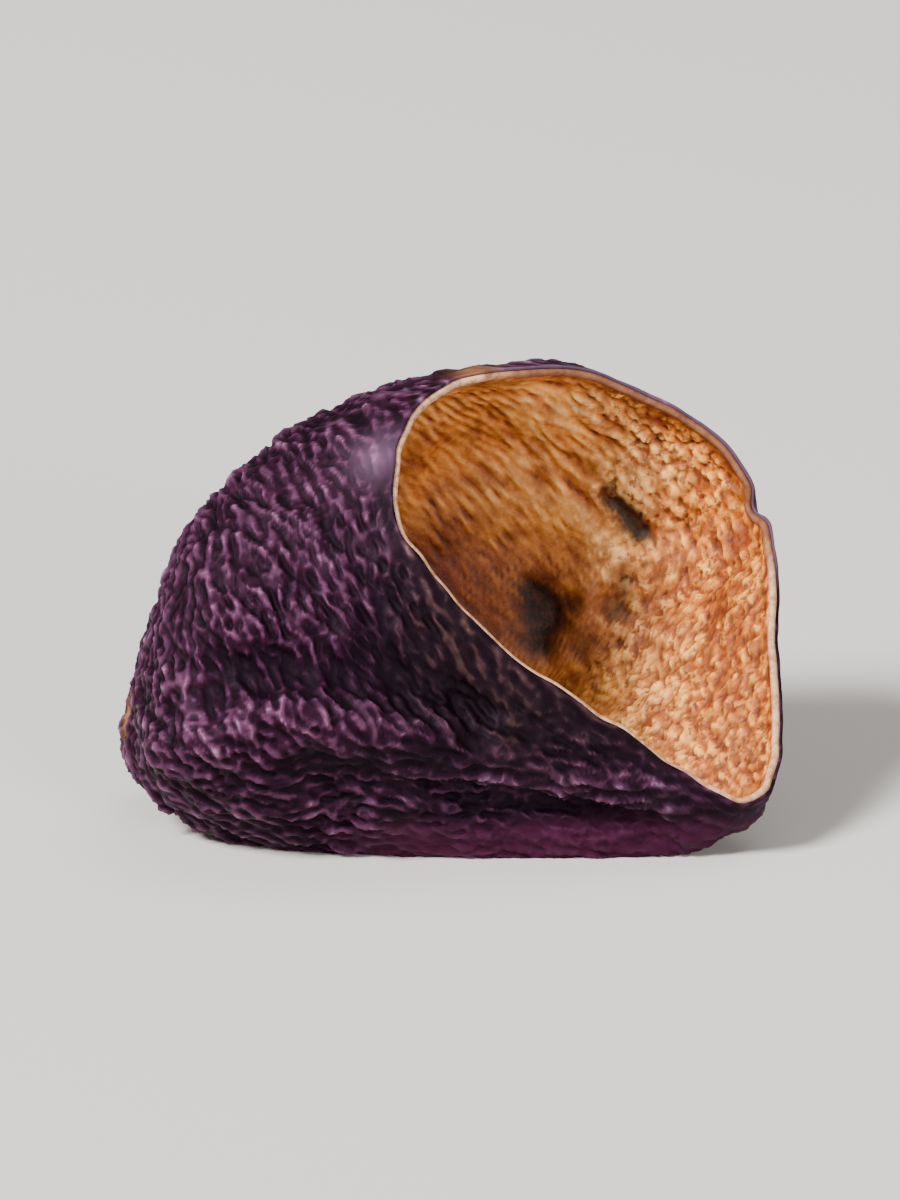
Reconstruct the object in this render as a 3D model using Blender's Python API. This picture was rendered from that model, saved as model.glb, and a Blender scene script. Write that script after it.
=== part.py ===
"""A small eggplant, cut across, hollowed out and dried.

Metres, +Z up. The shell lies on its side on a small flat spot. Its blossom end is closed and points to -X,
and its mouth opens to +X, up and towards -Y. The origin is under the middle of the shell, on the surface
that it rests on. Lengths below are in millimetres, and places are measured from near that origin: make_shell
moves them by MIDDLE and turns them to metres by MM.
"""

import math

import bmesh
import bpy
import numpy as np

MM = 0.001

# The two ends of the hollow, and the directions that they face.
BLOSSOM_END = np.array([-33.4, -2.0, 11.0])
BLOSSOM_FACING = np.array([-0.95, -0.10, 0.22])
MOUTH_CENTRE = np.array([14.0, -1.0, 25.0])
MOUTH_FACING = np.array([0.42, -0.62, 0.66])

# The cut edge of the mouth, from the top over the far lip to the spout at the front right and back along the
# near lip.
RIM = [
    (6.0, 10.0, 44.4),
    (13.5, 14.0, 43.2),
    (20.5, 15.6, 39.8),
    (26.5, 15.6, 36.0),
    (31.0, 13.2, 31.2),
    (32.9, 9.0, 26.0),
    (33.2, 3.2, 20.4),
    (33.2, -3.0, 14.8),
    (33.0, -9.0, 9.2),
    (31.6, -12.8, 6.4),
    (28.6, -14.9, 6.2),
    (24.6, -15.2, 8.6),
    (18.8, -14.9, 12.7),
    (12.8, -14.8, 16.6),
    (8.0, -14.6, 19.8),
    (3.6, -13.7, 23.3),
    (0.0, -12.2, 26.8),
    (-3.4, -10.5, 30.6),
    (-5.6, -8.4, 34.0),
    (-6.1, -5.2, 37.4),
    (-5.2, -0.8, 41.0),
    (-3.2, 3.0, 43.2),
    (0.8, 6.9, 44.5),
]

# How the wall runs from the blossom end to the mouth, round the axis between them. The angle is 0 on the far
# side, 90 above, 180 on the near side and 270 below.
# (angle in degrees, reach at the blossom end, reach at the mouth, flare of the wall at the mouth in degrees)
WALL_RUNS = [
    (0, 24, 17, 40),
    (45, 24, 14, 40),
    (80, 27, 16, 30),
    (110, 29, 18, 38),
    (140, 26, 17, 50),
    (165, 24, 16, 52),
    (200, 22, 16, 50),
    (235, 20, 16, 30),
    (255, 20, 21, 8),
    (275, 23, 30, 0),
    (300, 27, 36, 0),
    (318, 28, 35, 4),
    (340, 25, 25, 25),
]

# Folds that the wall shrank into: (points along the fold, half width, height). A hollow has a height below 0.
FOLDS = [
    # the raised fold that arches across the near side
    ([(-29, -13, 11), (-23, -17, 14), (-16, -17, 16.6), (-8, -17, 14.5), (4, -16, 12), (20, -15, 8)], 2.7, 1.4),
    # the valley above it
    ([(-24, -15, 20), (-15, -16, 21), (-6, -15.5, 19.5), (2, -16, 16.5)], 2.9, -1.2),
    # the crease along the bottom of the near side
    ([(-14, -18, 9.5), (-5, -17.5, 8.6), (2, -16.5, 7.6), (11, -15, 5.8), (19, -14.5, 4.2)], 2.3, -1.4),
    # the notch between the round end and the belly
    ([(-12, -18, 3), (-13, -17, 7)], 3.0, -1.4),
    # long soft folds over the top and down the far side
    ([(-26, 0, 30), (-16, 2, 38), (-8, 4, 43)], 3.4, 0.8),
    ([(-26, 10, 27), (-14, 15, 32), (0, 18, 37), (14, 19, 37)], 3.4, -1.3),
    ([(-28, 14, 18), (-12, 20, 20), (6, 22, 22), (24, 19, 25)], 3.4, 1.1),
    ([(-24, 18, 9), (-6, 21, 10), (14, 20, 11), (26, 14, 13)], 3.2, -1.2),
]

MIDDLE = np.array([-0.338, 1.596, 0.0])  # under the middle of the shell, where the part's origin goes
WALL = 2.2  # thickness of the dried flesh and skin
LIP_WALL = 1.1  # thickness of the cut edge
LIP_TAPER = 7.0  # how far below the cut edge the wall starts to thin
REST_BLEND = 1.1  # how far the round underside is from flat where the resting spot begins

# The nick in the far lip, where the shell was threaded on a string to dry.
NICK_AT = (31.9, 12.2, 29.4)
NICK_HALF_WIDTH = 1.5
NICK_DEPTH = 2.0
NICK_RUN = 4.0  # how far below the nick the wall is still drawn down with it

COLUMNS = 90  # round the mouth
OUTER_RINGS = 24
INNER_RINGS = 18
RIB_SAMPLES = 160
RIM_SAMPLES = 40  # between two points of the rim


def unit(vectors):
    return vectors / np.maximum(np.linalg.norm(vectors, axis=-1, keepdims=True), 1e-9)


def along(line):
    """How far each point of a line is from its start."""
    steps = np.linalg.norm(np.diff(line, axis=0), axis=1)
    return np.concatenate([[0.0], np.cumsum(steps)])


def evenly(line, count):
    """The line again, with count points evenly spaced along it."""
    place = along(line)
    wanted = np.linspace(0, place[-1], count)
    return np.stack([np.interp(wanted, place, line[:, k]) for k in range(3)], axis=1)


def smooth_curve(points, closed):
    """A centripetal Catmull-Rom curve through the points."""
    points = np.asarray(points, float)
    if closed:
        points = np.vstack([points[-1:], points, points[:2]])
    else:
        points = np.vstack([2 * points[0] - points[1], points, 2 * points[-1] - points[-2]])
    pieces = []
    for p0, p1, p2, p3 in zip(points[:-3], points[1:-2], points[2:-1], points[3:]):
        t0 = 0.0
        t1 = t0 + np.linalg.norm(p1 - p0) ** 0.5
        t2 = t1 + np.linalg.norm(p2 - p1) ** 0.5
        t3 = t2 + np.linalg.norm(p3 - p2) ** 0.5
        t = np.linspace(t1, t2, RIM_SAMPLES, endpoint=False)[:, None]
        a1 = ((t1 - t) * p0 + (t - t0) * p1) / (t1 - t0)
        a2 = ((t2 - t) * p1 + (t - t1) * p2) / (t2 - t1)
        a3 = ((t3 - t) * p2 + (t - t2) * p3) / (t3 - t2)
        b1 = ((t2 - t) * a1 + (t - t0) * a2) / (t2 - t0)
        b2 = ((t3 - t) * a2 + (t - t1) * a3) / (t3 - t1)
        pieces.append(((t2 - t) * b1 + (t - t1) * b2) / (t2 - t1))
    return np.vstack([*pieces, points[-2:-1]])


def round_the_axis(column, angles):
    """One column of WALL_RUNS at any angle round the axis, on a smooth periodic curve."""
    turn = 2 * math.pi
    at = np.radians([run[0] for run in WALL_RUNS])
    value = np.array([run[column] for run in WALL_RUNS], float)
    at = np.concatenate([at - turn, at, at + turn])
    value = np.tile(value, 3)
    slope = np.gradient(value, at)
    angles = np.mod(angles, turn)
    i = np.searchsorted(at, angles, side="right") - 1
    step = at[i + 1] - at[i]
    t = (angles - at[i]) / step
    start = (2 * t**3 - 3 * t**2 + 1) * value[i] + (t**3 - 2 * t**2 + t) * step * slope[i]
    end = (3 * t**2 - 2 * t**3) * value[i + 1] + (t**3 - t**2) * step * slope[i + 1]
    return start + end


def wall_ribs(columns, rings):
    """Points of the smooth outer wall, as [ring from the blossom end to the mouth, column, xyz]."""
    rim = evenly(smooth_curve(RIM, closed=True), columns + 1)[:-1]
    mouth, blossom = unit(MOUTH_FACING), unit(BLOSSOM_FACING)
    axis = unit(MOUTH_CENTRE - BLOSSOM_END)
    far = unit(np.cross([0.0, 0.0, 1.0], axis))
    up = np.cross(axis, far)
    from_centre = rim - MOUTH_CENTRE
    angle = np.arctan2(from_centre @ up, from_centre @ far)
    end_far = unit(far - (far @ blossom) * blossom)
    end_up = unit(up - (up @ blossom) * blossom)
    spread = np.cos(angle)[:, None] * end_far + np.sin(angle)[:, None] * end_up
    flare = np.radians(round_the_axis(3, angle))[:, None]
    outward = unit(np.cross(np.roll(rim, -1, axis=0) - np.roll(rim, 1, axis=0), mouth))
    outward *= np.sign((outward * from_centre).sum(axis=1))[:, None]
    inward = np.sin(flare) * outward - np.cos(flare) * mouth
    start = np.broadcast_to(BLOSSOM_END, rim.shape)
    leave = start + round_the_axis(1, angle)[:, None] * spread
    arrive = rim + round_the_axis(2, angle)[:, None] * inward
    t = np.linspace(0, 1, RIB_SAMPLES)[:, None, None]
    ribs = (1 - t) ** 3 * start + 3 * (1 - t) ** 2 * t * leave + 3 * (1 - t) * t**2 * arrive + t**3 * rim
    return np.stack([evenly(ribs[:, j], rings + 1) for j in range(columns)], axis=1)


def outward_normals(wall):
    """The wall's normals, pointing out of the shell, from the points beside each point."""
    down = np.gradient(wall, axis=0)
    around = np.roll(wall, -1, axis=1) - np.roll(wall, 1, axis=1)
    normals = unit(np.cross(around, down))
    normals[0] = unit(BLOSSOM_FACING)
    middle = wall.mean(axis=(0, 1))
    if ((wall[1:] - middle) * normals[1:]).sum() < 0:
        normals[1:] *= -1
    return normals


def distance_to(line, points):
    """The distance from each point to a line of straight pieces."""
    best = np.full(points.shape[:-1], np.inf)
    for a, b in zip(line[:-1], line[1:]):
        run = b - a
        t = np.clip(((points - a) @ run) / (run @ run), 0, 1)
        best = np.minimum(best, np.linalg.norm(points - a - t[..., None] * run, axis=-1))
    return best


def fold(wall):
    """Raises and sinks the wall along FOLDS."""
    normals = outward_normals(wall)
    lift = np.zeros(wall.shape[:2])
    for points, half_width, height in FOLDS:
        line = evenly(smooth_curve(points, closed=False), 6 * len(points))
        lift += height * np.exp(-((distance_to(line, wall) / half_width) ** 2))
    return wall + lift[..., None] * normals


def nick(wall):
    """Draws the lip down where the string pulled into it."""
    rim = wall[-1]
    reach = np.linalg.norm(rim - np.array(NICK_AT), axis=1) / NICK_HALF_WIDTH
    drop = NICK_DEPTH * np.exp(-(reach**2))
    to_rim = np.linalg.norm(wall - rim, axis=-1)
    share = np.clip(1 - to_rim / (NICK_DEPTH + NICK_RUN), 0, 1)
    down = unit(wall[-4] - rim)
    return wall + (drop * share)[..., None] * down


def rest(wall):
    """Flattens the lowest part of the wall where the shell rests on it."""
    height = wall[..., 2]
    rounded = (height + REST_BLEND) ** 2 / (4 * REST_BLEND)
    flat = np.where(height > REST_BLEND, height, np.where(height < -REST_BLEND, 0.0, rounded))
    return np.concatenate([wall[..., :2], flat[..., None]], axis=-1)


def shell_rings():
    """The closed skin of the shell as rings of points: out to the mouth, over the lip and back in."""
    outer = rest(nick(fold(wall_ribs(COLUMNS, OUTER_RINGS))))
    to_lip = np.linalg.norm(outer - outer[-1], axis=-1)
    share = np.clip(to_lip / LIP_TAPER, 0, 1)
    thickness = LIP_WALL + (WALL - LIP_WALL) * share**2 * (3 - 2 * share)
    inner = outer - thickness[..., None] * outward_normals(outer)
    inner = np.stack([evenly(inner[:, j], INNER_RINGS + 1) for j in range(COLUMNS)], axis=1)
    inner[0] = inner[0].mean(axis=0)
    lip = (outer[-1] + inner[-1]) / 2 + 0.3 * LIP_WALL * unit(outer[-1] - outer[-2])
    return np.concatenate([outer, lip[None], inner[::-1]])


def material(name, colour, roughness):
    made = bpy.data.materials.new(name)
    made.use_nodes = True
    shader = made.node_tree.nodes["Principled BSDF"]
    shader.inputs["Base Color"].default_value = (*colour, 1.0)
    shader.inputs["Roughness"].default_value = roughness
    shader.inputs["Metallic"].default_value = 0.0
    return made


def add_object(name, data, finish):
    made = bpy.data.objects.new(name, data)
    bpy.context.scene.collection.objects.link(made)
    data.materials.append(finish)
    return made


def make_shell():
    """A ball of rings and columns whose far half is pushed in to line the near half, which leaves a cup."""
    rings = (shell_rings() - MIDDLE) * MM
    last = len(rings) - 1
    bm = bmesh.new()
    bmesh.ops.create_uvsphere(bm, u_segments=COLUMNS, v_segments=last, radius=1.0)
    for vertex in bm.verts:
        x, y, z = vertex.co
        ring = round((math.asin(max(-1.0, min(1.0, z))) / math.pi + 0.5) * last)
        column = round(math.atan2(y, x) / (2 * math.pi) * COLUMNS) % COLUMNS
        vertex.co = rings[ring, column]
    if bm.calc_volume(signed=True) < 0:
        bmesh.ops.reverse_faces(bm, faces=bm.faces)
    mesh = bpy.data.meshes.new("eggplant_shell")
    bm.to_mesh(mesh)
    bm.free()
    mesh.shade_smooth()
    return add_object("eggplant_shell", mesh, material("dried_eggplant", (0.045, 0.016, 0.040), 0.5))


for old in list(bpy.data.objects):
    bpy.data.objects.remove(old, do_unlink=True)
make_shell()
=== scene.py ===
"""The looks of a dried, hollowed eggplant shell: its wrinkled skin, its dried flesh and its cut edge.

The shape is worked out in millimetres, on a grid of rings and columns: a ring runs round the shell, and a
column runs from the blossom end to the mouth. Points are turned to metres where a piece is made.
"""

import math

import bpy
import numpy as np
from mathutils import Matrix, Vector


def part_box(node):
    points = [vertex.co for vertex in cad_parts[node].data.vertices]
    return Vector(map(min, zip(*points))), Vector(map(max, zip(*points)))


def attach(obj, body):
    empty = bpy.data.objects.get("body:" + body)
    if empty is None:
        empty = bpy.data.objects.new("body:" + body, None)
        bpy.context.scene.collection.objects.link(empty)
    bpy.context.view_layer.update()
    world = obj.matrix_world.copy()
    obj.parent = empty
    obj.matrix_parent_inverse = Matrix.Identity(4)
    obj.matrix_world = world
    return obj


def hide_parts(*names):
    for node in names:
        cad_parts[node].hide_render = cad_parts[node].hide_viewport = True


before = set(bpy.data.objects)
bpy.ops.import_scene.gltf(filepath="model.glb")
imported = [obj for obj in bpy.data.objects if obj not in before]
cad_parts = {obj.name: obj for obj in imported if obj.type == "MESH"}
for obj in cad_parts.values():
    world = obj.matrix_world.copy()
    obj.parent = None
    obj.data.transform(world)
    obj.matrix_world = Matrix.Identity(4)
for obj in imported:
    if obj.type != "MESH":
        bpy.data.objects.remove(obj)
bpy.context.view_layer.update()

MM = 0.001
MERGE = 1e-7  # points closer than this, in metres, are one point
NODE = "eggplant_shell"

# ---------------------------------------------------------------------------------------------------------
# The shell's shape, in millimetres

BLOSSOM_END = np.array([-33.4, -2.0, 11.0])
BLOSSOM_FACING = np.array([-0.95, -0.10, 0.22])
MOUTH_CENTRE = np.array([14.0, -1.0, 25.0])
MOUTH_FACING = np.array([0.42, -0.62, 0.66])
MIDDLE = np.array([-0.338, 1.596, 0.0])  # the origin's place, under the middle of the shell

# The cut edge, from the top over the far lip to the spout at the front right and back along the near lip.
RIM = [
    (6.0, 10.0, 44.4),
    (13.5, 14.0, 43.2),
    (20.5, 15.6, 39.8),
    (26.5, 15.6, 36.0),
    (31.0, 13.2, 31.2),
    (32.9, 9.0, 26.0),
    (33.2, 3.2, 20.4),
    (33.2, -3.0, 14.8),
    (33.0, -9.0, 9.2),
    (31.6, -12.8, 6.4),
    (28.6, -14.9, 6.2),
    (24.6, -15.2, 8.6),
    (18.8, -14.9, 12.7),
    (12.8, -14.8, 16.6),
    (8.0, -14.6, 19.8),
    (3.6, -13.7, 23.3),
    (0.0, -12.2, 26.8),
    (-3.4, -10.5, 30.6),
    (-5.6, -8.4, 34.0),
    (-6.1, -5.2, 37.4),
    (-5.2, -0.8, 41.0),
    (-3.2, 3.0, 43.2),
    (0.8, 6.9, 44.5),
]

# Round the axis from the blossom end to the mouth: 0 on the far side, 90 above, 180 on the near side.
# (angle in degrees, reach at the blossom end, reach at the mouth, the wall's flare at the mouth in degrees)
WALL_RUNS = [
    (0, 24, 17, 40),
    (45, 24, 14, 40),
    (80, 27, 16, 30),
    (110, 29, 18, 38),
    (140, 26, 17, 50),
    (165, 24, 16, 52),
    (200, 22, 16, 50),
    (235, 20, 16, 30),
    (255, 20, 21, 8),
    (275, 23, 30, 0),
    (300, 27, 36, 0),
    (318, 28, 35, 4),
    (340, 25, 25, 25),
]

# (points along the fold, half width, height)
FOLDS = [
    # the raised fold that arches across the near side, and the valley above it
    (
        [(-29, -13, 11), (-23, -17, 14), (-16, -17, 16.6), (-8, -17, 14.5), (4, -16, 12), (20, -15, 8)],
        2.7,
        1.4,
    ),
    ([(-24, -15, 20), (-15, -16, 21), (-6, -15.5, 19.5), (2, -16, 16.5)], 2.9, -1.2),
    # the crease along the bottom of the near side, and the notch beside the round end
    ([(-14, -18, 9.5), (-5, -17.5, 8.6), (2, -16.5, 7.6), (11, -15, 5.8), (19, -14.5, 4.2)], 2.3, -1.4),
    ([(-12, -18, 3), (-13, -17, 7)], 3.0, -1.4),
    # long soft folds over the top and down the far side
    ([(-26, 0, 30), (-16, 2, 38), (-8, 4, 43)], 3.4, 0.8),
    ([(-26, 10, 27), (-14, 15, 32), (0, 18, 37), (14, 19, 37)], 3.4, -1.3),
    ([(-28, 14, 18), (-12, 20, 20), (6, 22, 22), (24, 19, 25)], 3.4, 1.1),
    ([(-24, 18, 9), (-6, 21, 10), (14, 20, 11), (26, 14, 13)], 3.2, -1.2),
]

RAISED_FOLD, UPPER_VALLEY, LOWER_CREASE = (points for points, _, _ in FOLDS[:3])

WALL = 2.2  # the wall's thickness
LIP_WALL = 1.1  # and at the cut edge
LIP_TAPER = 7.0  # how far from the cut edge it reaches its full thickness
REST_BLEND = 1.1  # how far above and below the floor the wall bends into the flat place it rests on

# The nick that a string wore in the far lip
NICK_AT = (31.9, 12.2, 29.4)
NICK_HALF_WIDTH = 1.5
NICK_DEPTH = 2.0
NICK_RUN = 4.0  # how far below the nick the wall is drawn down with it

# The cut edge's small ups and downs, and the scrap of skin that stands up from it at the top left
EDGE_WAVES = range(3, 40)  # how many of each go round the mouth
EDGE_FADE = 0.7  # how fast they get lower as they get shorter
EDGE_PHASES = 6.28  # about one turn, in radians
EDGE_HEIGHT = 0.14
EDGE_REACH = 3.0
SCRAP_AT = (2.6, 8.2, 44.5)
SCRAP_RADIUS = 2.2
SCRAP_RAGGEDNESS = 0.3
SCRAP_HEIGHT = 0.5

RIB_SAMPLES = 400
CURVE_SAMPLES = 40
LINE_SAMPLES = 6  # for each point of a line that a fold follows

COLUMNS = 440  # round the mouth
RINGS = 200  # along the wall, on each of its two faces
HIDDEN_RINGS = 24  # along a face that lies inside the wall
DOWN_RINGS = RINGS // 8  # how far down the wall its direction at the rim is taken
SEED = 11
SHORTEST = 1e-9  # keeps a vector of no length from being divided by nought


def unit(vectors):
    return vectors / np.maximum(np.linalg.norm(vectors, axis=-1, keepdims=True), SHORTEST)


def along(line):
    """How far each point of a line is from its start."""
    return np.concatenate([[0.0], np.cumsum(np.linalg.norm(np.diff(line, axis=0), axis=1))])


def evenly(line, count):
    """The line again, with count points evenly spaced along it."""
    place = along(line)
    wanted = np.linspace(0, place[-1], count)
    return np.stack([np.interp(wanted, place, line[:, k]) for k in range(3)], axis=1)


def smooth_curve(points, closed):
    """A centripetal Catmull-Rom curve through the points."""
    points = np.asarray(points, float)
    if closed:
        points = np.vstack([points[-1:], points, points[:2]])
    else:
        points = np.vstack([2 * points[0] - points[1], points, 2 * points[-1] - points[-2]])
    pieces = []
    for p0, p1, p2, p3 in zip(points[:-3], points[1:-2], points[2:-1], points[3:]):
        t0 = 0.0
        t1 = t0 + np.linalg.norm(p1 - p0) ** 0.5
        t2 = t1 + np.linalg.norm(p2 - p1) ** 0.5
        t3 = t2 + np.linalg.norm(p3 - p2) ** 0.5
        t = np.linspace(t1, t2, CURVE_SAMPLES, endpoint=False)[:, None]
        a1 = ((t1 - t) * p0 + (t - t0) * p1) / (t1 - t0)
        a2 = ((t2 - t) * p1 + (t - t1) * p2) / (t2 - t1)
        a3 = ((t3 - t) * p2 + (t - t2) * p3) / (t3 - t2)
        b1 = ((t2 - t) * a1 + (t - t0) * a2) / (t2 - t0)
        b2 = ((t3 - t) * a2 + (t - t1) * a3) / (t3 - t1)
        pieces.append(((t2 - t) * b1 + (t - t1) * b2) / (t2 - t1))
    return np.vstack([*pieces, points[-2:-1]])


def round_the_axis(column, angles):
    """One column of WALL_RUNS at any angle round the axis, on a smooth periodic curve."""
    turn = 2 * math.pi
    at = np.radians([run[0] for run in WALL_RUNS])
    value = np.array([run[column] for run in WALL_RUNS], float)
    at = np.concatenate([at - turn, at, at + turn])
    value = np.tile(value, 3)
    slope = np.gradient(value, at)
    angles = np.mod(angles, turn)
    i = np.searchsorted(at, angles, side="right") - 1
    step = at[i + 1] - at[i]
    t = (angles - at[i]) / step
    start = (2 * t**3 - 3 * t**2 + 1) * value[i] + (t**3 - 2 * t**2 + t) * step * slope[i]
    end = (3 * t**2 - 2 * t**3) * value[i + 1] + (t**3 - t**2) * step * slope[i + 1]
    return start + end


def wall_ribs():
    """Points of the smooth outer wall, as [ring from the blossom end to the mouth, column, xyz]."""
    rim = evenly(smooth_curve(RIM, closed=True), COLUMNS + 1)[:-1]
    mouth, blossom = unit(MOUTH_FACING), unit(BLOSSOM_FACING)
    axis = unit(MOUTH_CENTRE - BLOSSOM_END)
    far = unit(np.cross([0.0, 0.0, 1.0], axis))
    up = np.cross(axis, far)
    from_centre = rim - MOUTH_CENTRE
    angle = np.arctan2(from_centre @ up, from_centre @ far)
    end_far = unit(far - (far @ blossom) * blossom)
    end_up = unit(up - (up @ blossom) * blossom)
    spread = np.cos(angle)[:, None] * end_far + np.sin(angle)[:, None] * end_up
    flare = np.radians(round_the_axis(3, angle))[:, None]
    outward = unit(np.cross(np.roll(rim, -1, axis=0) - np.roll(rim, 1, axis=0), mouth))
    outward *= np.sign((outward * from_centre).sum(axis=1))[:, None]
    inward = np.sin(flare) * outward - np.cos(flare) * mouth
    start = np.broadcast_to(BLOSSOM_END, rim.shape)
    leave = start + round_the_axis(1, angle)[:, None] * spread
    arrive = rim + round_the_axis(2, angle)[:, None] * inward
    t = np.linspace(0, 1, RIB_SAMPLES)[:, None, None]
    ribs = (1 - t) ** 3 * start + 3 * (1 - t) ** 2 * t * leave + 3 * (1 - t) * t**2 * arrive + t**3 * rim
    return np.stack([evenly(ribs[:, j], RINGS + 1) for j in range(COLUMNS)], axis=1)


def outward_normals(wall):
    """The wall's normals, pointing out of the shell, from the points beside each point."""
    down = np.gradient(wall, axis=0)
    around = np.roll(wall, -1, axis=1) - np.roll(wall, 1, axis=1)
    normals = unit(np.cross(around, down))
    normals[0] = unit(BLOSSOM_FACING)
    middle = wall.mean(axis=(0, 1))
    if ((wall[1:] - middle) * normals[1:]).sum() < 0:
        normals[1:] *= -1
    return normals


def smoothed(field, times):
    """A field on the grid, averaged with the points beside each point."""
    for _ in range(times):
        field = (np.roll(field, 1, axis=1) + 2 * field + np.roll(field, -1, axis=1)) / 4
        inside = (field[:-2] + 2 * field[1:-1] + field[2:]) / 4
        field = np.concatenate([field[:1], inside, field[-1:]])
    return field


def distance_to(points_along, wall):
    """The distance from each point of the wall to a smooth line through a few points."""
    line = evenly(smooth_curve(points_along, closed=False), LINE_SAMPLES * len(points_along))
    best = np.full(wall.shape[:-1], np.inf)
    for a, b in zip(line[:-1], line[1:]):
        run = b - a
        t = np.clip(((wall - a) @ run) / (run @ run), 0, 1)
        best = np.minimum(best, np.linalg.norm(wall - a - t[..., None] * run, axis=-1))
    return best


def ridge(points_along, half_width, wall):
    """1 along a line on the wall, falling to 0 beside it."""
    return np.exp(-((distance_to(points_along, wall) / half_width) ** 2))


def fold(wall):
    """The wall with its folds raised and its valleys sunk."""
    lift = sum(height * ridge(points, half_width, wall) for points, half_width, height in FOLDS)
    return wall + lift[..., None] * outward_normals(wall)


def draw_rim(wall, drop, reach):
    """Moves the rim down the wall by drop, one value for each column, and the wall within reach less."""
    rim = wall[-1]
    share = np.clip(1 - np.linalg.norm(wall - rim, axis=-1) / reach, 0, 1)
    down = unit(wall[-DOWN_RINGS] - rim)
    return wall + (drop * share)[..., None] * down


def nick(wall):
    """The wall with the nick in its far lip."""
    away = np.linalg.norm(wall[-1] - np.array(NICK_AT), axis=1) / NICK_HALF_WIDTH
    return draw_rim(wall, NICK_DEPTH * np.exp(-(away**2)), NICK_DEPTH + NICK_RUN)


def cut_edge_wave():
    """The cut edge's small ups and downs, one value for each column."""
    chance = np.random.default_rng(SEED)
    turn = np.arange(COLUMNS) / COLUMNS * 2 * math.pi
    wave = np.zeros(COLUMNS)
    for n in EDGE_WAVES:
        size = chance.standard_normal() / n**EDGE_FADE
        wave += size * np.sin(n * turn + chance.uniform(0, EDGE_PHASES))
    return wave / wave.std()


def ragged_rim(wall):
    """The wall with the cut edge's small ups and downs, and with the scrap."""
    scrap = np.exp(-((np.linalg.norm(wall[-1] - np.array(SCRAP_AT), axis=1) / SCRAP_RADIUS) ** 2))
    drop = (EDGE_HEIGHT + SCRAP_RAGGEDNESS * scrap) * cut_edge_wave() - SCRAP_HEIGHT * scrap
    return draw_rim(wall, drop, EDGE_REACH)


def rest(wall):
    """Flattens the lowest part of the wall where the shell rests on it."""
    height = wall[..., 2]
    rounded = (height + REST_BLEND) ** 2 / (4 * REST_BLEND)
    flat = np.where(height > REST_BLEND, height, np.where(height < -REST_BLEND, 0.0, rounded))
    return np.concatenate([wall[..., :2], flat[..., None]], axis=-1)


# ---------------------------------------------------------------------------------------------------------
# Wrinkles: waves laid along the wall in short overlapping patches, as skin buckles when it shrinks

PATCHES = 12  # how many patches overlap at a place
PATCH_WIDTH = 0.5  # a patch's size across its waves, in spacings
PATCH_REACH = 2.4  # how far from its centre a patch is worked out, in its own lengths
STRETCH = (0.8, 1.25)  # the least and the most that a patch's spacing is scaled by
WAVE_RANGE = 1.6  # brings most of a field between -1 and 1
SMALL_STEP = 1e-3  # the least step between points that a patch's reach is counted in
CREST_ROUNDING = 0.015
ROLL_STEEPNESS = 1.6
VALLEY_SHARPNESS = 0.7


def waves(wall, flow, spacing, length, seed, scatter):
    """A rolling field on the wall, about -1 to 1, whose waves run along flow and lie spacing apart.

    length is how long a wave runs before it breaks up, in spacings, and scatter how far its heading strays.
    """
    chance = np.random.default_rng(seed)
    normals = outward_normals(wall)
    ring_step = np.linalg.norm(np.gradient(wall, axis=0), axis=-1)
    column_step = np.linalg.norm(np.roll(wall, -1, axis=1) - wall, axis=-1)
    area = (ring_step * column_step).ravel()
    across_size = PATCH_WIDTH * spacing
    along_size = across_size * length
    patches = int(PATCHES * area.sum() / (2 * math.pi * across_size * along_size))
    centres = chance.choice(area.size, patches, p=area / area.sum())
    turns = np.broadcast_to(scatter, wall.shape[:2]).ravel()[centres] * chance.standard_normal(patches)
    phases = chance.uniform(0, 2 * math.pi, patches)
    stretch = chance.uniform(*STRETCH, patches)
    reach = PATCH_REACH * along_size
    forward = unit(flow - (flow * normals).sum(axis=-1, keepdims=True) * normals)
    side = np.cross(normals, forward)
    total = np.zeros(wall.shape[:2])
    rings, columns = total.shape
    for centre, turn, phase, wide in zip(centres, turns, phases, stretch):
        k, j = divmod(int(centre), columns)
        rows = int(min(rings, reach / max(ring_step[k, j], SMALL_STEP))) + 1
        sides = int(min(columns // 2 - 1, reach / max(column_step[k, j], SMALL_STEP))) + 1
        row = slice(max(0, k - rows), min(rings, k + rows + 1))
        column = np.arange(j - sides, j + sides + 1) % columns
        away = wall[row][:, column] - wall[k, j]
        heading = math.cos(turn) * forward[k, j] + math.sin(turn) * side[k, j]
        crossing = math.cos(turn) * side[k, j] - math.sin(turn) * forward[k, j]
        a, b = away @ heading, away @ crossing
        size = np.exp(-0.5 * ((a / along_size) ** 2 + (b / across_size) ** 2))
        total[row, column] += size * np.cos(2 * math.pi * b / (spacing * wide) + phase)
    away_from_the_pole = total[rings // 4 :]
    return total / away_from_the_pole.std() / WAVE_RANGE


def crests(field):
    """Sharp ridges along the lines where a wave field changes sign, with rounded valleys, 0 to 1."""
    return np.clip(1 - np.sqrt(field**2 + CREST_ROUNDING), 0, 1)


def rolls(field):
    """Rounded wrinkles with flanks steeper than a plain wave's, 0 to 1."""
    return 0.5 + 0.5 * np.tanh(ROLL_STEEPNESS * field)


def valleys(field):
    """Sharp creases along the lines where a wave field changes sign, between rounded ridges, 0 to 1."""
    return np.clip(np.abs(field), 0, 1) ** VALLEY_SHARPNESS


def drift(wall, size, seed):
    """A slow blotchy field on the wall, about -1 to 1, with blotches about size across."""
    flow = np.broadcast_to(np.array([1.0, 0.3, 0.2]), wall.shape)
    return waves(wall, flow, 2 * size, 1.2, seed, scatter=3.0)


def blend(value, start, end):
    """0 where value is below start, 1 above end, and smooth between."""
    t = np.clip((value - start) / (end - start), 0, 1)
    return t * t * (3 - 2 * t)


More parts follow.
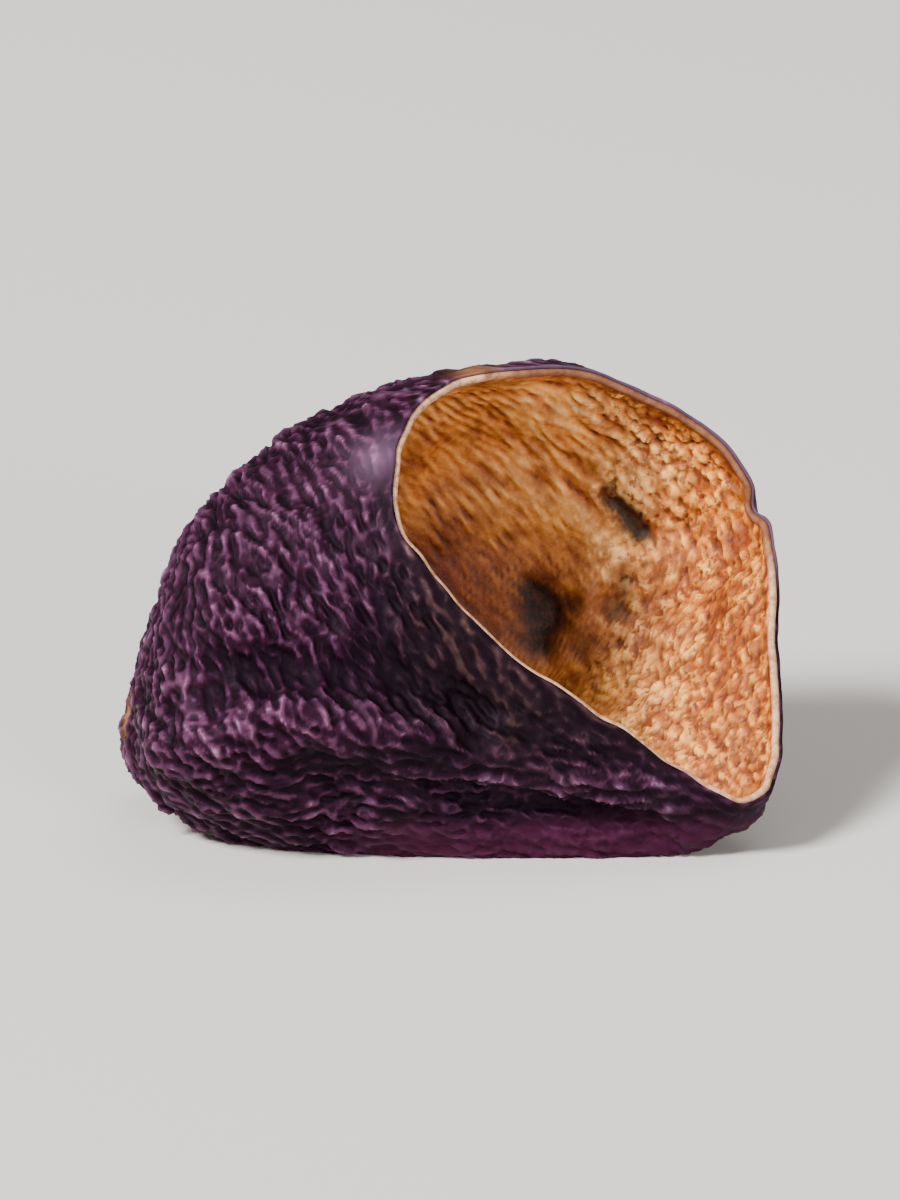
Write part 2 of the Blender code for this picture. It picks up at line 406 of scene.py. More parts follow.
def spot(wall, centre, radius):
    """1 at a place on the wall, falling to 0 round it."""
    return np.exp(-((np.linalg.norm(wall - np.array(centre), axis=-1) / radius) ** 2))


def flow_of_skin(wall):
    """The way the wrinkles run: down along the slanting near lip, and below it along the body."""
    high = blend(wall[..., 2:], 9, 20)
    slanting = np.array([0.52, -0.18, -0.84])
    level = np.array([0.97, 0.05, -0.20])
    return unit(high * slanting + (1 - high) * level)


def flow_of_flesh(lining):
    """The way the fibres run: from the blossom end towards the mouth, slanting down on the far wall."""
    downwards = np.array([0.1, 0.0, -1.5])
    return unit(unit(np.gradient(lining, axis=0)) + downwards)


# ---------------------------------------------------------------------------------------------------------
# Materials

# A colour Mix node's sockets: its share, its first and second colour, and its result
SHARE, FIRST, SECOND, RESULT = 0, 6, 7, 2
CLEAR, FULL = "#000000", "#ffffff"


def linear(code):
    """An sRGB hex colour as linear red, green, blue and alpha."""
    parts = [int(code[i : i + 2], 16) / 255 for i in (1, 3, 5)]
    return (*[c / 12.92 if c <= 0.04045 else ((c + 0.055) / 1.055) ** 2.4 for c in parts], 1.0)


def add_node(tree, kind, settings, links):
    """Adds a node and returns it.

    settings name its properties, its inputs or a colour ramp's stops, as (place, hex colour), and links give
    an input the output that feeds it.
    """
    node = tree.nodes.new(kind)
    for name, value in settings.items():
        if name == "stops":
            elements = node.color_ramp.elements
            for _ in value[2:]:
                elements.new(0.5)
            for element, (place, code) in zip(elements, value):
                element.position = place
                element.color = linear(code)
        elif isinstance(name, str) and hasattr(node, name):
            setattr(node, name, value)
        else:
            node.inputs[name].default_value = value
    for name, source in links.items():
        tree.links.new(source, node.inputs[name])
    return node


def new_material(name, roughness):
    made = bpy.data.materials.new(name)
    made.use_nodes = True
    tree = made.node_tree
    shader = tree.nodes["Principled BSDF"]
    shader.inputs["Roughness"].default_value = roughness
    return made, tree, shader


# The skin's streaks of wear, its hair-fine wrinkles and its pores, and how deep the last two are
SKIN_STREAKS = 0.7 * MM
SKIN_WRINKLES = 1.1 * MM
SKIN_PORES = 0.22 * MM
SKIN_WRINKLE_DEPTH = 0.14 * MM
SKIN_PORE_DEPTH = 0.06 * MM

# The skin's colour from its creases to its crests, near black in the creases as painted shade and paler on
# the crests as painted highlight: where it is dark, where it is mauve and painted lighter where light falls,
# where it is dull brown and in painted shade under the near lip
DARK_SKIN = ((0.3, "#040004"), (0.54, "#10030d"), (0.76, "#30152a"), (0.97, "#6c4a62"))
MAUVE_AND_LIT_SKIN = ((0.27, "#080106"), (0.5, "#270a1f"), (0.74, "#553049"), (0.97, "#96718a"))
DULL_AND_SHADED_SKIN = ((0.3, "#040102"), (0.55, "#150a0c"), (0.78, "#35241f"), (0.97, "#755b4c"))


def skin_material():
    """Dried eggplant skin: a thin waxy purple-black hide that puckered as it dried in air. Its crests are
    painted paler and mauve as a painted highlight, its creases near black as a painted shade, and the wax
    leaves a soft violet gloss."""
    made, tree, shader = new_material("dried_eggplant_skin", 0.5)
    shader.inputs["Specular IOR Level"].default_value = 0.2
    shader.inputs["Specular Tint"].default_value = linear("#c29abb")
    place = add_node(tree, "ShaderNodeTexCoord", {}, {}).outputs["Object"]
    shares = {}
    for name in ("height", "bloom", "dull", "magenta", "lilac", "scar"):
        shares[name] = add_node(tree, "ShaderNodeAttribute", {"attribute_name": name}, {}).outputs["Fac"]

    # how far a place stands out: its height, with streaks of wear. The ramps paint it paler on the crests
    # and near black in the creases, as painted highlight and painted shade.
    settings = {"Scale": 1 / SKIN_STREAKS, "Detail": 4.0, "Roughness": 0.65}
    streaks = add_node(tree, "ShaderNodeTexNoise", settings, {"Vector": place}).outputs["Fac"]
    settings = {"operation": "MULTIPLY_ADD", 1: 0.3, 2: -0.15}
    uneven = add_node(tree, "ShaderNodeMath", settings, {0: streaks}).outputs[0]
    links = {0: uneven, 1: shares["height"]}
    streaks_and_relief_shade = add_node(tree, "ShaderNodeMath", {"operation": "ADD"}, links).outputs[0]

    colour = add_node(tree, "ShaderNodeValToRGB", {"stops": DARK_SKIN}, {"Fac": streaks_and_relief_shade}).outputs["Color"]
    # the mauve layer is partly the skin's own mauve and partly painted light on the left end, the top and
    # the fold crests; the dull layer is partly dull brown skin and partly painted shade under the near lip
    for name, stops in (("bloom", MAUVE_AND_LIT_SKIN), ("dull", DULL_AND_SHADED_SKIN)):
        layer = add_node(tree, "ShaderNodeValToRGB", {"stops": stops}, {"Fac": streaks_and_relief_shade}).outputs["Color"]
        links = {SHARE: shares[name], FIRST: colour, SECOND: layer}
        colour = add_node(tree, "ShaderNodeMix", {"data_type": "RGBA"}, links).outputs[RESULT]
    for name, code in (("magenta", "#3a1128"), ("lilac", "#7d6079"), ("scar", "#8a5a35")):
        settings = {"data_type": "RGBA", SECOND: linear(code)}
        links = {SHARE: shares[name], FIRST: colour}
        colour = add_node(tree, "ShaderNodeMix", settings, links).outputs[RESULT]
    tree.links.new(colour, shader.inputs["Base Color"])

    settings = {"To Min": 0.7, "To Max": 0.4}
    rough = add_node(tree, "ShaderNodeMapRange", settings, {"Value": streaks_and_relief_shade}).outputs["Result"]
    tree.links.new(rough, shader.inputs["Roughness"])

    # wrinkles and pores that are too fine for the mesh
    settings = {"Scale": 1 / SKIN_WRINKLES, "Detail": 3.0, "Roughness": 0.55}
    settings["noise_type"] = "RIDGED_MULTIFRACTAL"
    wrinkles = add_node(tree, "ShaderNodeTexNoise", settings, {"Vector": place}).outputs["Fac"]
    settings = {"Strength": 0.55, "Distance": SKIN_WRINKLE_DEPTH}
    bump = add_node(tree, "ShaderNodeBump", settings, {"Height": wrinkles}).outputs["Normal"]
    settings = {"Scale": 1 / SKIN_PORES, "Detail": 2.0, "Roughness": 0.5}
    pores = add_node(tree, "ShaderNodeTexNoise", settings, {"Vector": place}).outputs["Fac"]
    settings = {"Strength": 0.3, "Distance": SKIN_PORE_DEPTH}
    bump = add_node(tree, "ShaderNodeBump", settings, {"Height": pores, "Normal": bump}).outputs["Normal"]
    tree.links.new(bump, shader.inputs["Normal"])
    return made


FLESH_GRAIN_DEPTH = 0.16 * MM

# Noise in the flesh: (size, detail, roughness). The grain is the size of the pulp's dried cells.
FLESH_NOISES = {
    "streaks": (0.8 * MM, 4.0, 0.65),
    "blotches": (2.6 * MM, 3.0, 0.6),
    "flecks": (1.1 * MM, 3.0, 0.6),
    "stains": (3.2 * MM, 4.0, 0.65),
    "gloom": (0.9 * MM, 4.0, 0.6),
    "grain": (0.4 * MM, 4.0, 0.65),
}

# The flesh's colour from its creases to its crests, painted darker in the creases and lighter on the crests
# as
# painted shade and painted highlight: most of it, near the spout and edge, and deep in the hollow, amber
# with painted shade
TAN_FLESH = ((0.12, "#652606"), (0.34, "#bd6b22"), (0.6, "#e89f4a"), (0.9, "#ffcc84"))
PEACH_FLESH = ((0.26, "#2e0b01"), (0.46, "#923c05"), (0.66, "#ca6c16"), (0.92, "#fbb04c"))
SHADED_AMBER_FLESH = ((0.15, "#220600"), (0.42, "#6a2702"), (0.72, "#99490a"), (1.0, "#bf7828"))
BLOTCHES = ((0.32, "#8f5633"), (0.6, FULL))
BLOTCH_STRENGTH = 0.7
FLECKS = ((0.55, CLEAR), (0.6, FULL))
STAINS = ((0.54, CLEAR), (0.6, FULL))
# Painted shade in the pits, near black to dark brown
PIT_SHADE = ((0.45, "#070100"), (0.75, "#431808"))
CREAM_LIP = ((0.35, "#a26f4c"), (0.62, "#d8ab88"))


def flesh_material():
    """Dried eggplant flesh: a spongy tan pulp, scraped hollow and dried in air to a leathery lining. It is
    amber and painted darker, as painted shade, where it lies deep in the hollow, peach towards the spout,
    and pale along its cut edge. Its crests are painted lighter and its creases darker, as painted highlight
    and shade."""
    made, tree, shader = new_material("dried_eggplant_flesh", 0.6)
    shader.inputs["Specular IOR Level"].default_value = 0.3
    place = add_node(tree, "ShaderNodeTexCoord", {}, {}).outputs["Object"]
    shares = {}
    for name in ("height", "peach", "deep", "rough", "crack", "pit", "rind", "lip"):
        shares[name] = add_node(tree, "ShaderNodeAttribute", {"attribute_name": name}, {}).outputs["Fac"]
    noises = {}
    for name, (size, detail, roughness) in FLESH_NOISES.items():
        settings = {"Scale": 1 / size, "Detail": detail, "Roughness": roughness}
        noises[name] = add_node(tree, "ShaderNodeTexNoise", settings, {"Vector": place}).outputs["Fac"]

    # how far a place stands out: its height, with streaks. The ramps paint it lighter on the crests and
    # darker in the creases, as painted highlight and painted shade
    settings = {"operation": "MULTIPLY_ADD", 1: 0.4, 2: -0.2}
    uneven = add_node(tree, "ShaderNodeMath", settings, {0: noises["streaks"]}).outputs[0]
    links = {0: uneven, 1: shares["height"]}
    streaks_and_relief_shade = add_node(tree, "ShaderNodeMath", {"operation": "ADD"}, links).outputs[0]

    colour = add_node(tree, "ShaderNodeValToRGB", {"stops": TAN_FLESH}, {"Fac": streaks_and_relief_shade}).outputs["Color"]
    # the deep layer: amber, with painted shade darkening it where the hollow lies deep
    for name, stops in (("peach", PEACH_FLESH), ("deep", SHADED_AMBER_FLESH)):
        layer = add_node(tree, "ShaderNodeValToRGB", {"stops": stops}, {"Fac": streaks_and_relief_shade}).outputs["Color"]
        links = {SHARE: shares[name], FIRST: colour, SECOND: layer}
        colour = add_node(tree, "ShaderNodeMix", {"data_type": "RGBA"}, links).outputs[RESULT]

    links = {"Fac": noises["blotches"]}
    blotches = add_node(tree, "ShaderNodeValToRGB", {"stops": BLOTCHES}, links).outputs["Color"]
    settings = {"data_type": "RGBA", "blend_type": "MULTIPLY", SHARE: BLOTCH_STRENGTH}
    colour = add_node(tree, "ShaderNodeMix", settings, {FIRST: colour, SECOND: blotches}).outputs[RESULT]

    # flecks and stains, only where the flesh is rough
    for name, stops, code in (("flecks", FLECKS, "#6e2a0a"), ("stains", STAINS, "#843a10")):
        marks = add_node(tree, "ShaderNodeValToRGB", {"stops": stops}, {"Fac": noises[name]})
        links = {0: shares["rough"], 1: marks.outputs["Color"]}
        share = add_node(tree, "ShaderNodeMath", {"operation": "MULTIPLY"}, links).outputs[0]
        settings = {"data_type": "RGBA", SECOND: linear(code)}
        colour = add_node(tree, "ShaderNodeMix", settings, {SHARE: share, FIRST: colour}).outputs[RESULT]

    settings = {"data_type": "RGBA", SECOND: linear("#320e03")}
    links = {SHARE: shares["crack"], FIRST: colour}
    colour = add_node(tree, "ShaderNodeMix", settings, links).outputs[RESULT]
    # painted shade: the pits are painted near black, with a little dark brown
    gloom = add_node(tree, "ShaderNodeValToRGB", {"stops": PIT_SHADE}, {"Fac": noises["gloom"]})
    links = {SHARE: shares["pit"], FIRST: colour, SECOND: gloom.outputs["Color"]}
    colour = add_node(tree, "ShaderNodeMix", {"data_type": "RGBA"}, links).outputs[RESULT]
    settings = {"data_type": "RGBA", SECOND: linear("#5b2611")}
    links = {SHARE: shares["rind"], FIRST: colour}
    colour = add_node(tree, "ShaderNodeMix", settings, links).outputs[RESULT]
    cream = add_node(tree, "ShaderNodeValToRGB", {"stops": CREAM_LIP}, {"Fac": noises["streaks"]})
    links = {SHARE: shares["lip"], FIRST: colour, SECOND: cream.outputs["Color"]}
    colour = add_node(tree, "ShaderNodeMix", {"data_type": "RGBA"}, links).outputs[RESULT]
    tree.links.new(colour, shader.inputs["Base Color"])

    settings = {"Strength": 0.6, "Distance": FLESH_GRAIN_DEPTH}
    bump = add_node(tree, "ShaderNodeBump", settings, {"Height": noises["grain"]}).outputs["Normal"]
    tree.links.new(bump, shader.inputs["Normal"])
    return made


def floor_material():
    """Matt painted board, pale and plain, so that only the shell and its soft shadow draw the eye."""
    made, _, shader = new_material("matt_painted_board", 0.85)
    shader.inputs["Base Color"].default_value = linear("#cfcac4")
    return made


# ---------------------------------------------------------------------------------------------------------
# Pieces


def thinned(face):
    """A field on a face of the wall again, with only the few rings that a hidden face needs."""
    keep = np.round(np.linspace(0, len(face) - 1, HIDDEN_RINGS + 1)).astype(int)
    return face[keep]


def cup_order(outside, lip, inside):
    """The rings of a cup in order: up its outside, over its lip and down its inside."""
    return np.concatenate([outside, lip, inside[::-1]])


def signed_volume(mesh):
    """Six times the volume inside a closed mesh, which is negative where its faces point inwards."""
    mesh.calc_loop_triangles()
    points = np.empty(len(mesh.vertices) * 3)
    mesh.vertices.foreach_get("co", points)
    triangles = np.empty(len(mesh.loop_triangles) * 3, np.int32)
    mesh.loop_triangles.foreach_get("vertices", triangles)
    corners = points.reshape(-1, 3)[triangles].reshape(-1, 3, 3)
    return np.einsum("ij,ij->", corners[:, 0], np.cross(corners[:, 1], corners[:, 2]))


def cup_piece(name, rings, values, finish):
    """A closed cup made from a flat grid: its rows become the given rings, the seam and the two poles are
    merged, and values are kept as attributes."""
    rings[0] = rings[0].mean(axis=0)
    rings[-1] = rings[-1].mean(axis=0)
    last = len(rings) - 1
    bpy.ops.object.select_all(action="DESELECT")
    bpy.ops.mesh.primitive_grid_add(x_subdivisions=COLUMNS, y_subdivisions=last, size=1.0, calc_uvs=True)
    piece = bpy.context.object
    piece.name = name
    mesh = piece.data
    mesh.name = name
    mesh.uv_layers[0].name = "OFBake"
    flat = np.empty(len(mesh.vertices) * 3, np.float32)
    mesh.vertices.foreach_get("co", flat)
    across, up, _ = flat.reshape(-1, 3).T
    column = np.round((across + 0.5) * COLUMNS).astype(int) % COLUMNS
    ring = np.round((up + 0.5) * last).astype(int)
    points = (rings[ring, column] - MIDDLE) * MM
    mesh.vertices.foreach_set("co", points.astype(np.float32).ravel())
    for key, field in values.items():
        layer = mesh.attributes.new(key, "FLOAT", "POINT")
        layer.data.foreach_set("value", field[ring, column].astype(np.float32))
    bpy.ops.object.mode_set(mode="EDIT")
    bpy.ops.mesh.select_all(action="SELECT")
    bpy.ops.mesh.remove_doubles(threshold=MERGE)
    bpy.ops.object.mode_set(mode="OBJECT")
    if signed_volume(mesh) < 0:
        mesh.flip_normals()
    mesh.shade_smooth()
    mesh.materials.append(finish)
    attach(piece, "root")
    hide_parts(NODE)
    return piece


# Each kind of wrinkle in the skin:
# (its shape, spacing, length in spacings, seed, how much more it strays, how sharp it is)
SKIN_WAVES = {
    "broad": (crests, 6.0, 2.4, SEED + 1, 0.1, 1.3),
    "long": (rolls, 4.6, 3.5, SEED + 12, 0.1, 1.0),
    "middle": (rolls, 1.55, 3.0, SEED + 2, 0.0, 1.0),
    "fine": (crests, 2.0, 2.4, SEED + 3, 0.3, 1.4),
}
SKIN_HEIGHTS = {"broad": 0.3, "long": 0.45, "middle": 0.42, "fine": 0.3}
# Paler crests as painted highlight, for each kind of wrinkle
SKIN_CREST_HIGHLIGHT = {"broad": 0.1, "long": 0.14, "middle": 0.42, "fine": 0.32}  # what each adds to the colour
SKIN_SINK = 0.72  # brings the wrinkles' middle back to the smooth wall
SKIN_SCATTER = 0.3
CLOSED_END_SCATTER = 0.8
CLOSED_END_RADIUS = 12

# The lit crest just above the crease along the bottom of the near side, and the valley above the crest
LOW_CREST = [(-6, -17.2, 10.4), (3, -16.4, 9.4), (12, -15.2, 7.8), (21, -14.6, 6.2)]
LOW_VALLEY = [(-27, -13, 8), (-20, -16.5, 10.5), (-11, -17.2, 12.0), (2, -16.6, 11.6)]
CREST_LINE_HEIGHT = 0.65
CREASE_LINE_DEPTH = 0.45

# The star-shaped scar that the blossom left on the closed end
SCAR_RADIUS = 1.7
SCAR_POINTS = 5
SCAR_POINTEDNESS = 0.3
SCAR_DEPTH = 0.6

# The smooth place below the top of the near lip, paler lilac, partly its own tone and partly a painted sheen
LILAC_AT = (-8.5, -3.0, 40.0)
LILAC_RADIUS = 3.0

SKIN_EDGE_DEPTH = 0.3  # the skin's thickness at the cut edge
SKIN_MORE_DEPTH = 0.6  # and how much thicker it is away from it
SKIN_LIP = 0.05  # how far the skin's edge stands out past its faces


def skin_waves(wall):
    """The fields of the four kinds of wrinkle, each 0 to 1. They stray most round the closed end."""
    flow = flow_of_skin(wall)
    scatter = SKIN_SCATTER + CLOSED_END_SCATTER * spot(wall, BLOSSOM_END, CLOSED_END_RADIUS)
    fields = {}
    for kind, (shape, spacing, length, seed, stray, sharpness) in SKIN_WAVES.items():
        fields[kind] = shape(sharpness * waves(wall, flow, spacing, length, seed, scatter + stray))
    return fields


def make_skin(wall, normals, to_edge):
    """The skin, from its wrinkled outside to a smooth back inside the wall. Gives back its thickness."""
    fields = skin_waves(wall)
    raised = {kind: SKIN_HEIGHTS[kind] * field for kind, field in fields.items()}
    strength = np.clip(0.85 + 0.4 * drift(wall, 6, SEED + 4), 0.35, 1.4)
    relief = raised["broad"] + raised["long"] + strength * (raised["middle"] + raised["fine"]) - SKIN_SINK
    crest_line = np.maximum(ridge(RAISED_FOLD, 1.6, wall), ridge(LOW_CREST, 1.2, wall))
    crease_line = np.maximum(ridge(UPPER_VALLEY, 2.4, wall), ridge(LOWER_CREASE, 1.2, wall))
    crease_line = np.maximum(crease_line, 0.8 * ridge(LOW_VALLEY, 1.6, wall))
    relief += CREST_LINE_HEIGHT * crest_line - CREASE_LINE_DEPTH * crease_line
    turn = np.arange(COLUMNS) / COLUMNS * 2 * math.pi
    scar = spot(wall, BLOSSOM_END, SCAR_RADIUS * (1 + SCAR_POINTEDNESS * np.cos(SCAR_POINTS * turn)))
    relief = relief * (1 - 0.6 * scar) - SCAR_DEPTH * scar

    # the wrinkles are calm beside the cut edge and on the lilac place
    lilac = spot(wall, LILAC_AT, LILAC_RADIUS)
    calm = 0.12 + 0.88 * blend(to_edge, 0.6, 3.6)
    calm *= 1 - 0.7 * lilac
    outside = rest(wall + (calm * relief)[..., None] * normals)
    depth = SKIN_EDGE_DEPTH + SKIN_MORE_DEPTH * blend(to_edge, 0.3, 5.0)
    back = rest(wall) - depth[..., None] * normals
    lip = (outside[-1:] + back[-1:]) / 2 + SKIN_LIP * unit(outside[-1:] - outside[-3:-2])
    values = skin_values(wall, to_edge, fields, crest_line, crease_line, scar, lilac)
    values = {key: cup_order(field, field[-1:], thinned(field)) for key, field in values.items()}
    cup_piece("eggplant_skin", cup_order(outside, lip, thinned(back)), values, skin_material())
    return depth


def skin_values(wall, to_edge, fields, crest_line, crease_line, scar, lilac):
    """What the skin's material reads at each point: its height, and how much each of its colours shows.

    Places are ranges of x, y or z, or of the way to the cut edge."""
    x, y, z = np.moveaxis(wall, -1, 0)
    near_side = blend(-y, 2, 8)
    # painted shade: the band below the near lip, where the wall turns down away from the light
    under_lip = near_side * (1 - blend(to_edge, 7, 14)) * blend(x, -12, -3) * blend(z, 8, 14)
    blotches = drift(wall, 5, SEED + 5)
    # painted light: the left end and the top, which face the light, are painted lighter; less so on the
    # bottom
    lit = np.maximum(blend(-x, 4, 15), 0.8 * blend(z, 24, 34)) * (1 - 0.5 * blend(-z, -6, 0))
    far_edge = blend(y, 4, 9) * (1 - blend(to_edge, 0.1, 0.4))
    scrap = spot(wall, (2.5, 8.5, 45.0), 2.4)
    # painted highlight: each kind of wrinkle paints its crests paler
    crest_highlight = sum(SKIN_CREST_HIGHLIGHT[kind] * field for kind, field in fields.items())
    return {
        # paler on the crests and the lit fold crests as painted highlight, darker along the creases as
        # painted shade
        "height": np.clip(crest_highlight + 0.14 * crest_line - 0.3 * crease_line, 0, 1),
        # dull brown skin, with painted shade below the near lip
        "dull": np.clip(0.8 * under_lip + 0.12 * blotches, 0, 1),
        # mauve, partly the skin's blotchy mauve and partly painted light on the lit side and the fold crests
        "bloom": np.clip(0.25 + 0.65 * lit + 0.25 * blotches + 0.5 * crest_line, 0, 1),
        "magenta": 0.7 * near_side * blend(-z, -5.5, -2.5) * blend(x, -14, -4),
        # paler lilac below the near lip, partly the skin's own tone and partly a painted sheen, and a paler
        # line along the far cut edge
        "lilac": np.maximum(0.5 * lilac, 0.4 * far_edge),
        "scar": np.clip(1.2 * scar + 0.8 * scrap, 0, 1),
    }


# Hollows in the flesh: (centre, radius, depth). The first four make a slit.
PITS = [
    ((15.8, 19.4, 28.2), 1.0, 1.0),
    ((16.9, 19.4, 26.9), 1.3, 1.4),
    ((18.0, 19.3, 25.4), 1.4, 1.6),
    ((19.2, 19.0, 24.0), 1.2, 1.3),
    ((8.3, 18.2, 17.6), 1.9, 1.3),
    ((9.3, 17.8, 15.6), 2.5, 1.6),
    ((8.9, 17.3, 12.8), 2.0, 1.4),
    ((11.6, 17.9, 16.6), 1.6, 0.8),
    ((17.7, 17.9, 18.8), 1.5, 0.7),
    ((17.0, 17.5, 16.4), 2.0, 0.8),
    ((13.2, 17.2, 12.8), 2.0, 0.6),
]
# The pale ridge between the slit and the two round hollows
RIDGE = [(12.7, 19.7, 25.0), (16.6, 18.4, 21.0), (13.7, 18.0, 17.1), (13.0, 17.3, 13.9)]
# The arch over the smooth hollow at the upper left
BROW = [(-5.0, 17.3, 28.0), (-3.7, 17.3, 32.1), (-0.3, 16.2, 37.9), (6.0, 16.9, 39.5), (11.4, 19.3, 34.0)]
# The low swelling below the slit: (centre, radius, height)
SWELLING = ((13.0, 18.0, 18.0), 6.5, 0.4)
RIDGE_HEIGHT = 0.6
BROW_HEIGHT = 0.7
PIT_RAGGEDNESS = 0.3

# Waves in the flesh: (spacing, length in spacings, seed, how far they stray)
RIBS = (4.2, 3.0, SEED + 6, 0.22)
FIBRES = (1.15, 4.5, SEED + 7, 0.22)
LUMPS = (2.8, 1.2, SEED + 8, 2.0)
SMALL_LUMPS = (1.7, 1.4, SEED + 10, 2.0)
RIB_HEIGHT = 0.6
FIBRE_HEIGHT = 0.1
LUMP_HEIGHT = 0.5
SMALL_LUMP_HEIGHT = 0.3
FLESH_SINK = 0.25  # brings the relief's middle back to the smooth lining

FLESH_GAP = 0.06  # between the skin's back and the flesh's
THINNEST = 0.2  # the flesh's least thickness under a pit
FLESH_LIP = 0.25  # how far the cut edge is rounded outwards, in its own thicknesses


def flesh_fields(lining):
    """The flesh's ribs, fibres and lumps, and where it is rough, ribbed and pitted."""
    flow = flow_of_flesh(lining)
    x, _, z = np.moveaxis(lining, -1, 0)
    rough = np.clip(blend(x, 10, 20) + 0.2 * drift(lining, 5, SEED + 9), 0, 1)
    shift = np.stack([drift(lining, 1.6, SEED + k) for k in (20, 21, 22)], axis=-1)
    uneven = lining + PIT_RAGGEDNESS * shift
    pit = 0.0
    for centre, radius, depth in PITS:
        pit = np.maximum(pit, depth * spot(uneven, centre, radius))
    return {
        "ribs": crests(waves(lining, flow, *RIBS)),
        "fibres": waves(lining, flow, *FIBRES),
        "lumps": valleys(waves(lining, flow, *LUMPS)),
        "small_lumps": valleys(waves(lining, flow, *SMALL_LUMPS)),
        "rough": rough,
        "ribbed": (1 - 0.6 * rough) * blend(z, 22, 28) * blend(x, 1, 7),
        "pit": pit,
    }


def flesh_relief(lining, fields):
    """How far the flesh stands in from its smooth lining, without its pits."""
    centre, radius, height = SWELLING
    swell = height * spot(lining, centre, radius) + RIDGE_HEIGHT * ridge(RIDGE, 1.3, lining)
    swell += BROW_HEIGHT * ridge(BROW, 1.5, lining)
    relief = RIB_HEIGHT * (0.12 + 0.88 * fields["ribbed"]) * fields["ribs"] + FIBRE_HEIGHT * fields["fibres"]
    lumps = LUMP_HEIGHT * fields["lumps"] + SMALL_LUMP_HEIGHT * fields["small_lumps"]
    return relief + fields["rough"] * lumps + swell - FLESH_SINK


def flesh_values(smooth_lining, lining, wall, to_edge, fields):
    """What the flesh's material reads at each point: its height, and how much each of its colours shows."""
    x, _, z = np.moveaxis(smooth_lining, -1, 0)
    rough, lumps, small_lumps = fields["rough"], fields["lumps"], fields["small_lumps"]
    height = 0.22 + 0.42 * (fields["ribs"] - 0.3) * (0.25 + 0.75 * fields["ribbed"])
    height = height + 0.17 * (fields["fibres"] + 1) + rough * (0.28 * lumps + 0.26 * small_lumps)
    height = height + 0.2 * ridge(RIDGE, 1.6, lining)
    # painted shade: darker amber deep in the hollow, towards the blossom end and round the pits
    deep = (1 - blend(x, -2, 12)) * (1 - 0.85 * blend(z, 20, 31)) + 0.8 * spot(lining, (12, 18, 15), 7.0)
    crack = np.maximum(np.clip(1 - lumps / 0.4, 0, 1), 0.8 * np.clip(1 - small_lumps / 0.3, 0, 1)) * rough
    edge_x, edge_y, edge_z = np.moveaxis(wall[-1:], -1, 0)
    pale_lip = 1 - 0.85 * blend(edge_y, 5, 10) * blend(edge_x, 0, 8)
    upper_left = blend(edge_z, 30, 36) * (1 - blend(edge_x, 0, 8))
    return {
        "height": np.clip(height, 0, 1),
        "rough": 0.75 * rough,
        "deep": np.clip(deep, 0, 1),
        "peach": np.clip(blend(x, 15, 26) + 0.6 * (1 - blend(to_edge, 2, 6)), 0, 1),
        "crack": 0.8 * crack,
        # how much the pits' painted shade shows
        "pit": 0.95 * np.clip(1.15 * fields["pit"], 0, 1) ** 1.2,
        "lip": (1 - blend(to_edge / (1 + 3.5 * upper_left), 0.05, 0.4)) * pale_lip,
        "rind": (1 - blend(to_edge, 0.3, 1.1)) * (1 - pale_lip),
    }


def make_flesh(wall, normals, to_edge, skin_depth):
    """The flesh, from just under the skin to the hollow."""
    share = np.clip(to_edge / LIP_TAPER, 0, 1)
    thickness = LIP_WALL + (WALL - LIP_WALL) * share**2 * (3 - 2 * share)
    smooth_lining = rest(wall) - thickness[..., None] * normals
    back = rest(wall) - (skin_depth + FLESH_GAP)[..., None] * normals
    fields = flesh_fields(smooth_lining)
    relief = flesh_relief(smooth_lining, fields)
    inwards = blend(to_edge, 0.2, 3.0) * relief - blend(to_edge, 0.5, 4.0) * fields["pit"]
    inwards = np.maximum(inwards, -0.9 * (thickness - skin_depth - THINNEST))
    lining = smooth_lining - inwards[..., None] * normals
    lip = (back[-1:] + lining[-1:]) / 2 + FLESH_LIP * LIP_WALL * unit(wall[-1:] - wall[-3:-2])
    values = flesh_values(smooth_lining, lining, wall, to_edge, fields)
    values = {key: cup_order(thinned(field), field[-1:], field) for key, field in values.items()}
    cup_piece("eggplant_flesh", cup_order(thinned(back), lip, lining), values, flesh_material())


def make_shell():
    wall = ragged_rim(nick(fold(wall_ribs())))
    normals = unit(smoothed(outward_normals(wall), 3))
    to_edge = np.linalg.norm(wall - wall[-1], axis=-1)
    skin_depth = make_skin(wall, normals, to_edge)
    make_flesh(wall, normals, to_edge, skin_depth)


# ---------------------------------------------------------------------------------------------------------
# Floor, light and camera, in metres

FLOOR_SIZE = 6.0
LIT_PLACE = Vector((0, 0, 0.02))
# Square soft lights: (name, place, size, power in watts)
LIGHTS = [
    ("window", (-1.60, -1.12, 1.95), 0.8, 190.0),
    ("ceiling", (0.80, 1.00, 2.80), 2.0, 32.0),
    ("fill", (1.44, -2.48, 0.90), 1.2, 66.0),
]
ROOM_COLOUR = "#f1efec"
ROOM_STRENGTH = 0.22
FAR_WALL_STRENGTH = 0.9

CAMERA_LOOKS_DOWN = math.radians(18.0)
CAMERA_DISTANCE = 0.85
CAMERA_LENS = 335
CAMERA_SENSOR = 36


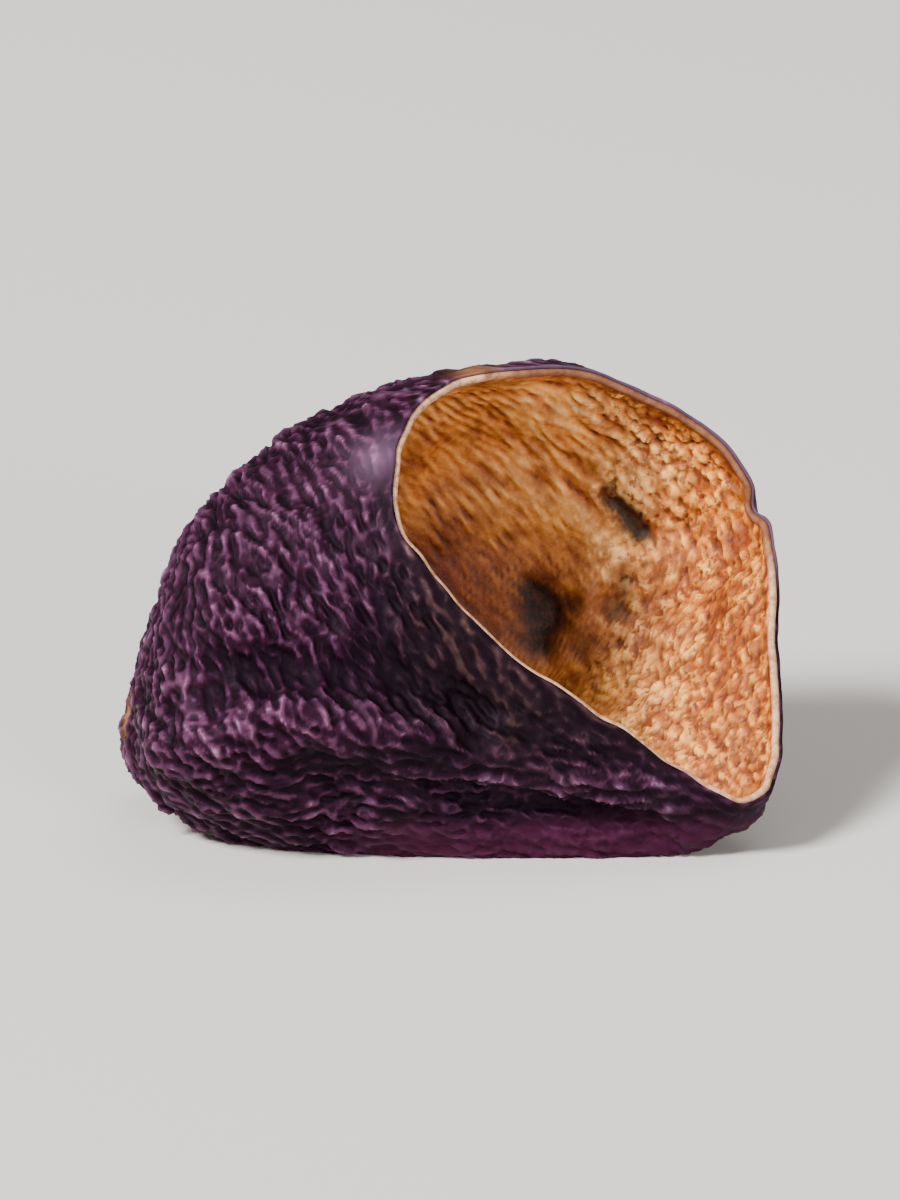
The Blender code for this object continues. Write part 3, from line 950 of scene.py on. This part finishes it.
def make_floor():
    bpy.ops.object.select_all(action="DESELECT")
    bpy.ops.mesh.primitive_plane_add(size=FLOOR_SIZE, location=(0, 0, 0))
    floor = bpy.context.object
    floor.name = "floor"
    floor.data.materials.append(floor_material())


def make_room():
    """Even pale light from all round. Past the floor's edge, the room is seen as bright as the floor is."""
    world = bpy.data.worlds.new("soft_room")
    bpy.context.scene.world = world
    world.use_nodes = True
    tree = world.node_tree
    light = tree.nodes["Background"]
    light.inputs["Color"].default_value = linear(ROOM_COLOUR)
    light.inputs["Strength"].default_value = ROOM_STRENGTH
    settings = {"Color": linear(ROOM_COLOUR), "Strength": FAR_WALL_STRENGTH}
    far_wall = add_node(tree, "ShaderNodeBackground", settings, {})
    seen = add_node(tree, "ShaderNodeLightPath", {}, {}).outputs["Is Camera Ray"]
    links = {0: seen, 1: light.outputs[0], 2: far_wall.outputs[0]}
    both = add_node(tree, "ShaderNodeMixShader", {}, links)
    tree.links.new(both.outputs[0], tree.nodes["World Output"].inputs["Surface"])


def make_lights():
    for name, place, size, power in LIGHTS:
        light = bpy.data.lights.new(name, "AREA")
        light.size = size
        light.energy = power
        lamp = bpy.data.objects.new(name, light)
        bpy.context.scene.collection.objects.link(lamp)
        lamp.location = place
        lamp.rotation_euler = (Vector(place) - LIT_PLACE).to_track_quat("Z", "Y").to_euler()


def make_camera():
    """Looks along +Y and down, at the middle of the shell."""
    low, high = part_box(NODE)
    centre = (low + high) / 2
    back = Vector((0, -math.cos(CAMERA_LOOKS_DOWN), math.sin(CAMERA_LOOKS_DOWN)))
    camera = bpy.data.cameras.new("camera")
    camera.lens = CAMERA_LENS
    camera.sensor_width = CAMERA_SENSOR
    camera.sensor_fit = "HORIZONTAL"
    holder = bpy.data.objects.new("camera", camera)
    bpy.context.scene.collection.objects.link(holder)
    holder.location = centre + CAMERA_DISTANCE * back
    holder.rotation_euler = back.to_track_quat("Z", "Y").to_euler()
    bpy.context.scene.camera = holder


make_camera()
make_floor()
make_room()
make_lights()
make_shell()
